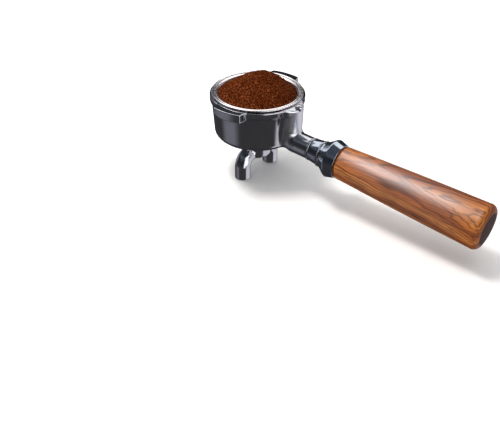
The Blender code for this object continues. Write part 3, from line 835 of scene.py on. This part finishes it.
class Nodes:
    """Short names for wiring one material's or world's node tree."""

    def __init__(self, name, world=False):
        self.owner = bpy.data.worlds.new(name) if world else bpy.data.materials.new(name)
        self.owner.use_nodes = True
        self.tree = self.owner.node_tree
        self.shader = self.tree.nodes["Background" if world else "Principled BSDF"]

    def add(self, kind, **settings):
        node = self.tree.nodes.new(kind)
        for key, value in settings.items():
            setattr(node, key, value)
        return node

    def link(self, source, target):
        self.tree.links.new(source, target)

    def feed(self, socket, value):
        """Sets a number or a colour on the socket itself and links anything else to it."""
        if isinstance(value, (int, float)):
            socket.default_value = value
        elif isinstance(value, tuple):
            socket.default_value = (*value, 1.0)
        else:
            self.link(value, socket)

    def split(self, vector):
        node = self.add("ShaderNodeSeparateXYZ")
        self.link(vector, node.inputs["Vector"])
        return node.outputs["X"], node.outputs["Y"], node.outputs["Z"]

    def place(self, rotation=(0.0, 0.0, 0.0), scale=(1.0, 1.0, 1.0), location=(0.0, 0.0, 0.0)):
        coordinates = self.add("ShaderNodeTexCoord")
        mapping = self.add("ShaderNodeMapping")
        mapping.inputs["Rotation"].default_value = rotation
        mapping.inputs["Scale"].default_value = scale
        mapping.inputs["Location"].default_value = location
        self.link(coordinates.outputs["Object"], mapping.inputs["Vector"])
        return mapping.outputs["Vector"]

    def noise(self, vector, scale, detail=4.0, roughness=0.55, distortion=0.0):
        node = self.add("ShaderNodeTexNoise")
        node.inputs["Scale"].default_value = scale
        node.inputs["Detail"].default_value = detail
        node.inputs["Roughness"].default_value = roughness
        node.inputs["Distortion"].default_value = distortion
        self.link(vector, node.inputs["Vector"])
        return node.outputs["Fac"]

    def ramp(self, value, stops):
        node = self.add("ShaderNodeValToRGB")
        elements = node.color_ramp.elements
        while len(elements) > 1:
            elements.remove(elements[-1])
        for index, (position, colour) in enumerate(stops):
            stop = elements[0] if index == 0 else elements.new(position)
            stop.position = position
            stop.color = (*colour, 1.0)
        self.link(value, node.inputs["Fac"])
        return node.outputs["Color"]

    def spread(self, value, low, high, start=0.3, stop=0.7, eased=False):
        node = self.add("ShaderNodeMapRange", interpolation_type="SMOOTHSTEP" if eased else "LINEAR")
        node.inputs["From Min"].default_value = start
        node.inputs["From Max"].default_value = stop
        node.inputs["To Min"].default_value = low
        node.inputs["To Max"].default_value = high
        self.link(value, node.inputs["Value"])
        return node.outputs["Result"]

    def math(self, operation, a, b=None, c=None):
        node = self.add("ShaderNodeMath", operation=operation)
        for socket, value in zip(node.inputs, (a, b, c)):
            if value is not None:
                self.feed(socket, value)
        return node.outputs[0]

    def mix(self, factor, a, b, blend="MIX"):
        node = self.add("ShaderNodeMix", data_type="RGBA", blend_type=blend)
        for socket, value in zip((node.inputs[0], node.inputs[6], node.inputs[7]), (factor, a, b)):
            self.feed(socket, value)
        return node.outputs[2]

    def bump(self, height, strength, distance):
        node = self.add("ShaderNodeBump")
        node.inputs["Strength"].default_value = strength
        node.inputs["Distance"].default_value = distance
        self.link(height, node.inputs["Height"])
        self.link(node.outputs["Normal"], self.shader.inputs["Normal"])

    def set(self, **values):
        for name, value in values.items():
            self.feed(self.shader.inputs[name.replace("_", " ")], value)


def satin_and_painted_glow_mask(n):
    """One over the hand-finished rib and elbow, a quarter along the neck, nothing on the turned head; there
    the chrome is made rougher and is also painted paler, a painted highlight for the bright reflection they
    catch.
    """
    flat = n.place(scale=(1.0, 1.0, 0.0), location=(-RIB_X * MM, 0.0, 0.0))
    reach = n.add("ShaderNodeVectorMath", operation="LENGTH")
    n.link(flat, reach.inputs[0])
    rib = n.spread(reach.outputs["Value"], 1.0, 0.0, 0.0110, 0.0121, True)
    neck = n.spread(n.split(flat)[0], 0.0, 0.25, 0.008, 0.012, True)
    return n.math("MAXIMUM", rib, neck)


def chrome(name, bright, dull, rough_low, rough_high, ripple, satin_glow=0.0):
    """Plated casting: slight haze, faint wiping marks and the soft ripple of a hand-polished surface."""
    n = Nodes(name)
    plain = n.place()
    haze = n.noise(plain, 55.0, 3.0)
    wiped = n.noise(n.place(scale=(1.0, 1.0, 6.0)), 260.0, 2.0)
    tint = n.ramp(haze, [(0.3, dull), (0.62, bright)])
    if satin_glow > 0.0:
        mask = satin_and_painted_glow_mask(n)
        # painted highlight: the chrome colour over the mask is lifted towards white, standing in for the
        # bright reflection on the rib and elbow
        tint = n.mix(mask, tint, (0.93, 0.93, 0.96))
    n.set(Base_Color=tint, Metallic=1.0)
    marks = n.math("MULTIPLY", n.spread(haze, 0.6, 1.0), n.spread(wiped, 0.75, 1.25))
    rough = n.math("MULTIPLY_ADD", marks, rough_high - rough_low, rough_low)
    if satin_glow > 0.0:
        rough = n.math("MULTIPLY_ADD", mask, satin_glow, rough)
    n.set(Roughness=rough)
    n.bump(n.noise(plain, 130.0, 2.0), 0.35, ripple)
    return n.owner


def basket_metal():
    """Pressed stainless steel with faint circular marks from drawing and washing."""
    n = Nodes("basket_steel")
    plain = n.place()
    stain = n.noise(plain, 80.0, 4.0)
    rings = n.add("ShaderNodeTexWave", wave_type="RINGS", rings_direction="Z")
    rings.inputs["Scale"].default_value = 420.0
    rings.inputs["Distortion"].default_value = 1.5
    n.link(plain, rings.inputs["Vector"])
    n.set(Base_Color=n.ramp(stain, [(0.3, (0.82, 0.78, 0.77)), (0.65, (0.94, 0.90, 0.89))]), Metallic=1.0)
    n.set(Roughness=n.spread(stain, 0.20, 0.28))
    n.bump(rings.outputs["Fac"], 0.12, 0.00004)
    return n.owner


def coffee_ground():
    """Dark reddish-brown grounds: each clump its own tone, matt, with fine grain relief."""
    n = Nodes("coffee_ground")
    plain = n.place()
    clump = n.noise(plain, 900.0, 5.0, 0.85)
    patch = n.noise(plain, 110.0, 3.0)
    tone = n.ramp(clump, [(0.36, (0.006, 0.0010, 0.0003)), (0.45, (0.040, 0.0065, 0.0014)),
                          (0.52, (0.098, 0.0185, 0.0036)), (0.59, (0.21, 0.050, 0.011)),
                          (0.67, (0.58, 0.270, 0.120))])
    shade = n.ramp(patch, [(0.3, (0.76, 0.72, 0.66)), (0.7, (1.0, 1.0, 1.0))])
    n.set(Base_Color=n.mix(1.0, tone, shade, "MULTIPLY"), Roughness=n.spread(clump, 0.75, 0.98))
    n.shader.inputs["Specular IOR Level"].default_value = 0.03
    fine = n.noise(plain, 2400.0, 3.0, 0.7)
    height = n.math("ADD", clump, n.math("MULTIPLY", fine, 0.45))
    n.bump(height, 1.0, 0.00035)
    return n.owner


WOOD_TURN = (0.0, -DROOP, 0.0)
GRIP_START, GRIP_END, _ = station_range("wood_grip")
END_GRAIN_SHADE_R = 11.8


def wood_x(station):
    """Where a station of the handle lies along the turned wood texture, in metres."""
    return (station + HANDLE_ORIGIN[2] * HANDLE_DIR.z) * MM


def wood_figure(n, x, y, z, fibre):
    """Growth bands sliced at a low angle, slow changes of tone, fibres and fine dark lines."""
    wander = n.noise(n.place(WOOD_TURN, (0.30, 1.0, 1.0)), 40.0, 3.0, 0.5, 0.5)
    sway = n.noise(n.place(WOOD_TURN, (0.45, 1.0, 1.0), (0.3, 0.1, 0.7)), 26.0, 2.0)
    bands = n.math("ADD", n.math("MULTIPLY", z, 520.0), n.math("MULTIPLY", x, 26.0))
    bands = n.math("ADD", bands, n.math("MULTIPLY", y, -360.0))
    bands = n.math("ADD", bands, n.math("MULTIPLY", wander, 9.0))
    bands = n.math("ADD", bands, n.math("MULTIPLY", sway, 7.0))
    wave = n.math("MULTIPLY_ADD", n.math("SINE", bands), 0.5, 0.5)
    figure = n.ramp(wave, [(0.0, (0.215, 0.053, 0.007)), (0.12, (0.250, 0.065, 0.009)),
                           (0.35, (0.292, 0.083, 0.011)), (0.80, (0.340, 0.105, 0.015)),
                           (1.0, (0.390, 0.135, 0.023))])
    glow = n.ramp(sway, [(0.42, (0.97, 0.95, 0.90)), (0.66, (1.32, 1.40, 1.30))])
    fibre_tone = n.ramp(fibre, [(0.36, (0.66, 0.58, 0.52)), (0.60, (1.06, 1.05, 1.04))])
    base = n.mix(1.0, n.mix(1.0, figure, glow, "MULTIPLY"), fibre_tone, "MULTIPLY")
    lines = n.math("ADD", n.math("MULTIPLY", bands, 5.3), n.math("MULTIPLY", wander, 14.0))
    line_wave = n.math("MULTIPLY_ADD", n.math("SINE", lines), 0.5, 0.5)
    line_tone = n.ramp(line_wave, [(0.0, (0.34, 0.25, 0.20)), (0.25, (0.78, 0.72, 0.68)),
                                   (0.5, (1.08, 1.08, 1.08))])
    lined = n.mix(1.0, base, line_tone, "MULTIPLY")
    return n.mix(n.spread(wander, 0.62, 1.0, 0.42, 0.58), base, lined)


def end_grain_and_shade(n, x, y, z):
    """One over the middle of the back face, easing out into its rounded edge; this is where the end grain
    is painted near black, partly darker end grain and partly painted shade.
    """
    cap = n.spread(x, 0.0, 1.0, wood_x(GRIP_END - 1.1), wood_x(GRIP_END - 0.2), True)
    across = n.math("SUBTRACT", z, HANDLE_ORIGIN[2] * math.cos(DROOP) * MM)
    square = n.math("ADD", n.math("MULTIPLY", across, across), n.math("MULTIPLY", y, y))
    edge, faded = (END_GRAIN_SHADE_R - 1.0) * MM, (END_GRAIN_SHADE_R + 1.2) * MM
    return n.math("MULTIPLY", cap, n.spread(n.math("SQRT", square), 1.0, 0.0, edge, faded, True))


def wood():
    """Varnished figured hardwood with dark pores; the varnish is thinner at both ends of the grip, and the
    back face is painted near black, end grain with painted shade.
    """
    n = Nodes("grip_wood")
    x, y, z = n.split(n.place(WOOD_TURN))
    fibre = n.noise(n.place(WOOD_TURN, (0.035, 1.0, 1.0)), 1100.0, 3.0, 0.6)
    pores = n.noise(n.place(WOOD_TURN, (0.05, 1.0, 1.0), (0.0, 0.4, 0.2)), 1500.0, 1.0)
    pore_mask = n.ramp(pores, [(0.62, (0.0, 0.0, 0.0)), (0.70, (1.0, 1.0, 1.0))])
    base = n.mix(n.math("MULTIPLY", pore_mask, 0.6), wood_figure(n, x, y, z, fibre), (0.030, 0.008, 0.003))
    bare_and_shaded = end_grain_and_shade(n, x, y, z)
    # painted shade: the back face is mixed to near black, darker end grain together with the shade that
    # face is in
    base = n.mix(n.math("MULTIPLY", bare_and_shaded, 0.95), base, (0.030, 0.007, 0.003))
    n.set(Base_Color=base, Roughness=n.spread(fibre, 0.50, 0.42))
    n.shader.inputs["Specular IOR Level"].default_value = 0.05
    worn = n.spread(x, 0.5, 1.0, wood_x(GRIP_START + 2.0), wood_x(GRIP_START + 30.0), True)
    held = n.spread(x, 1.0, 0.4, wood_x(GRIP_END - 34.0), wood_x(GRIP_END - 4.0), True)
    gloss = n.math("MULTIPLY", worn, held)
    n.set(Coat_Weight=n.math("MULTIPLY", gloss, n.math("MULTIPLY_ADD", bare_and_shaded, -0.95, 1.0)))
    n.shader.inputs["Coat IOR"].default_value = 1.6
    n.shader.inputs["Coat Roughness"].default_value = 0.50
    n.bump(n.math("ADD", fibre, n.math("MULTIPLY", pore_mask, -0.8)), 0.25, 0.00012)
    return n.owner


def plain_metal(name, dull, bright, low, high, scale=240.0, relief=0.00004):
    """Turned or drawn metal with a cloudy tone and a roughness that follows it."""
    n = Nodes(name)
    haze = n.noise(n.place(), scale, 4.0)
    n.set(Base_Color=n.ramp(haze, [(0.3, dull), (0.7, bright)]), Metallic=1.0)
    n.set(Roughness=n.spread(haze, low, high))
    n.bump(haze, 0.2, relief)
    return n.owner


def soft_ring(name, dark, pale, low, high):
    """Speckled matt seal or fibre washer."""
    n = Nodes(name)
    speck = n.noise(n.place(), 420.0, 4.0)
    n.set(Base_Color=n.ramp(speck, [(0.3, dark), (0.7, pale)]), Roughness=n.spread(speck, low, high))
    n.bump(speck, 0.3, 0.00005)
    return n.owner


# Build

# the last value of the head chrome adds roughness over the rib and elbow and switches on their painted
# highlight
head_chrome = chrome("head_chrome", (0.80, 0.81, 0.83), (0.70, 0.71, 0.73), 0.045, 0.11, 0.00005, 0.21)
ring_chrome = chrome("ring_chrome", (0.86, 0.87, 0.89), (0.76, 0.77, 0.79), 0.05, 0.12, 0.00003)
# painted reflection: the ferrule and collar chrome is darker and tinted blue, standing in for the dark
# bluish surround it reflects
ferrule_chrome = chrome("ferrule_chrome", (0.66, 0.72, 0.80), (0.55, 0.60, 0.68), 0.05, 0.12, 0.00003)
spout_chrome = chrome("spout_chrome", (0.80, 0.81, 0.83), (0.70, 0.71, 0.73), 0.05, 0.12, 0.00005)
brass = plain_metal("brass", (0.52, 0.34, 0.12), (0.83, 0.62, 0.30), 0.24, 0.42, 160.0, 0.00005)

build_casting(head_chrome)
build_basket(basket_metal())
build_dose(coffee_ground())
build_spout(spout_chrome)
build_bead("neck_bead", "neck_ring", ring_chrome)
build_bead("collar_bead", "collar_ring", ring_chrome)
build_collar(ferrule_chrome)
build_ferrule(ferrule_chrome)
build_grip(wood())

carried = {
    "outlet_nipple": brass,
    "grip_insert": brass,
    "outlet_gasket": soft_ring("gasket_seal", (0.70, 0.68, 0.62), (0.86, 0.85, 0.80), 0.45, 0.6),
    "ferrule_washer": soft_ring("fibre_washer", (0.09, 0.035, 0.014), (0.17, 0.070, 0.028), 0.7, 0.9),
    "spout_lock_nut": ring_chrome,
    "basket_spring": plain_metal("spring_wire", (0.42, 0.42, 0.44), (0.66, 0.66, 0.68), 0.2, 0.35),
    "neck_stud": plain_metal("stud_zinc", (0.45, 0.45, 0.46), (0.62, 0.62, 0.63), 0.3, 0.45),
}
for node, material in carried.items():
    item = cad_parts[node]
    item.data.materials.clear()
    item.data.materials.append(material)


# Floor, light and camera

FLOOR_HALF = 3.0
FLOOR_GAP = 0.0004


def build_floor():
    """Pale paper under the part, clear from below so that the underside can be seen."""
    signs = ((-1.0, -1.0), (1.0, -1.0), (1.0, 1.0), (-1.0, 1.0))
    corners = [(x * FLOOR_HALF, y * FLOOR_HALF, cad_low.z - FLOOR_GAP) for x, y in signs]
    mesh = bpy.data.meshes.new("floor")
    mesh.from_pydata(corners, [], [(0, 1, 2, 3)])
    floor = bpy.data.objects.new("floor", mesh)
    bpy.context.scene.collection.objects.link(floor)
    n = Nodes("floor_paper")
    speck = n.noise(n.place(), 90.0, 2.0)
    n.set(Base_Color=n.ramp(speck, [(0.3, (0.90, 0.90, 0.90)), (0.7, (0.94, 0.94, 0.94))]), Roughness=0.9)
    beneath = n.add("ShaderNodeNewGeometry").outputs["Backfacing"]
    n.set(Alpha=n.math("SUBTRACT", 1.0, beneath))
    mesh.materials.append(n.owner)
    floor.visible_glossy = False


def window(n, value, start, stop, ease, scale):
    """One between two eased edges given in degrees, nothing outside them."""
    half = ease / 2.0
    edges = [scale(math.radians(angle)) for angle in (start - half, start + half, stop - half, stop + half)]
    rise = n.spread(value, 0.0, 1.0, edges[0], edges[1], True)
    fall = n.spread(value, 1.0, 0.0, edges[2], edges[3], True)
    return n.math("MULTIPLY", rise, fall)


# Pale cards round the set: colour, bearing from, to and ease, elevation from, to and ease
CARDS = (
    ((0.56, 0.55, 0.61), (40.0, 127.0, 12.0), (-60.0, 22.0, 10.0)),
    ((1.30, 1.30, 1.34), (120.0, 166.0, 12.0), (-17.0, 38.0, 8.0)),
    ((1.00, 0.98, 1.00), (-74.0, 70.0, 14.0), (35.0, 66.0, 8.0)),
    ((0.12, 0.12, 0.145), (-122.0, -78.0, 24.0), (-50.0, -16.0, 12.0)),
    ((0.26, 0.27, 0.31), (-66.0, -20.0, 14.0), (-18.0, 12.0, 10.0)),
)


def studio_world(facing):
    """Tented set: pale to the camera, a soft sky for matt surfaces, cards and black for polished ones."""
    n = Nodes("studio", world=True)
    bpy.context.scene.world = n.owner
    coordinates = n.add("ShaderNodeTexCoord")
    mapping = n.add("ShaderNodeMapping")
    mapping.inputs["Rotation"].default_value = (0.0, 0.0, -facing)
    n.link(coordinates.outputs["Generated"], mapping.inputs["Vector"])
    right, away, up = n.split(mapping.outputs["Vector"])
    height = n.math("MULTIPLY_ADD", up, 0.5, 0.5)
    turn = n.math("ARCTAN2", right, away)
    polished = n.ramp(height, [(0.0, (0.035, 0.035, 0.040)), (0.35, (0.045, 0.044, 0.046)),
                               (0.5, (0.024, 0.025, 0.030)), (0.71, (0.014, 0.015, 0.020)),
                               (0.80, (0.08, 0.09, 0.11)), (0.93, (0.05, 0.06, 0.08)),
                               (1.0, (0.06, 0.07, 0.09))])
    for colour, around, above in CARDS:
        mask = n.math("MULTIPLY", window(n, turn, *around, float), window(n, up, *above, math.sin))
        polished = n.mix(1.0, polished, n.mix(mask, (0.0, 0.0, 0.0), colour), "ADD")
    sky = n.ramp(height, [(0.0, (0.5, 0.5, 0.5)), (0.5, (0.62, 0.62, 0.62)), (0.75, (0.92, 0.92, 0.92)),
                          (1.0, (1.15, 1.13, 1.10))])
    shade = n.spread(n.math("SUBTRACT", right, away), 1.0, 0.35, -0.2, 1.2, True)
    matt = n.mix(1.0, sky, shade, "MULTIPLY")
    path = n.add("ShaderNodeLightPath")
    seen = n.mix(path.outputs["Is Glossy Ray"], matt, polished)
    seen = n.mix(path.outputs["Is Camera Ray"], seen, (1.0, 1.0, 1.0))
    n.link(seen, n.shader.inputs["Color"])


CAMERA_TURN = math.radians(-38.7)
CAMERA_DISTANCE = 0.53926
CAMERA_ELEVATION = math.radians(25.46)
FOCAL_PX = 700.0
IMAGE_W = 500.0
SENSOR = 36.0
LOOK_FORWARD = Vector((-0.008272, 0.810194, -0.586104))
LOOK_RIGHT = Vector((0.999874, 0.014643, 0.006130))


def build_camera():
    """Camera in front of the head and above it; the handle runs to the right and towards it."""
    turn = Matrix.Rotation(-CAMERA_TURN, 3, "Z")
    place = turn @ Vector((0.0, -math.cos(CAMERA_ELEVATION), math.sin(CAMERA_ELEVATION))) * CAMERA_DISTANCE
    forward = (turn @ LOOK_FORWARD).normalized()
    right = (turn @ LOOK_RIGHT).normalized()
    up = right.cross(forward)
    data = bpy.data.cameras.new("camera")
    data.sensor_width = SENSOR
    data.lens = FOCAL_PX / IMAGE_W * SENSOR
    camera = bpy.data.objects.new("camera", data)
    bpy.context.scene.collection.objects.link(camera)
    camera.matrix_world = Matrix.Translation(place) @ Matrix((right, up, -forward)).transposed().to_4x4()
    bpy.context.scene.camera = camera
    return camera


build_floor()
side = build_camera().matrix_world.to_3x3() @ Vector((1.0, 0.0, 0.0))
ahead = Vector((-side.y, side.x, 0.0)).normalized()
studio_world(math.atan2(side.y, side.x))

AIM = Vector((0.06, 0.0, -0.02))


def soft_light(name, azimuth, elevation, distance, width, height, power, colour):
    """Rectangular light aimed at the part; azimuth 0 is behind it for the camera, 90 on its right."""
    light = bpy.data.lights.new(name, "AREA")
    light.shape = "RECTANGLE"
    light.size, light.size_y = width, height
    light.energy = power
    light.color = colour
    item = bpy.data.objects.new(name, light)
    bpy.context.scene.collection.objects.link(item)
    turn, rise = math.radians(azimuth), math.radians(elevation)
    level = side * math.sin(turn) + ahead * math.cos(turn)
    towards = level * math.cos(rise) + Vector((0.0, 0.0, math.sin(rise)))
    item.location = AIM + towards * distance
    item.rotation_euler = (-towards).to_track_quat("-Z", "Y").to_euler()
    return item


def only_reflected_by(light, piece):
    """Limits a light to the reflections on one piece."""
    light.visible_diffuse = False
    receivers = bpy.data.collections.new(light.name + "_receivers")
    receivers.objects.link(bpy.data.objects[piece])
    light.light_linking.receiver_collection = receivers


key = soft_light("key", -78.0, 68.0, 0.9, 0.26, 0.22, 5.8, (1.0, 0.96, 0.93))
key.visible_glossy = False
fill = soft_light("fill", -40.0, 60.0, 1.2, 0.9, 0.9, 3.5, (1.0, 0.98, 0.96))
fill.visible_glossy = False
sheen = soft_light("sheen", -72.0, 68.0, 0.9, 0.85, 0.20, 22.0, (1.0, 0.98, 0.97))
only_reflected_by(sheen, "grip_wood")
crest = soft_light("crest", -30.0, 62.0, 0.9, 1.3, 0.6, 3.4, (1.0, 0.95, 0.94))
only_reflected_by(crest, "basket")
bpy.context.scene.view_settings.view_transform = "Standard"
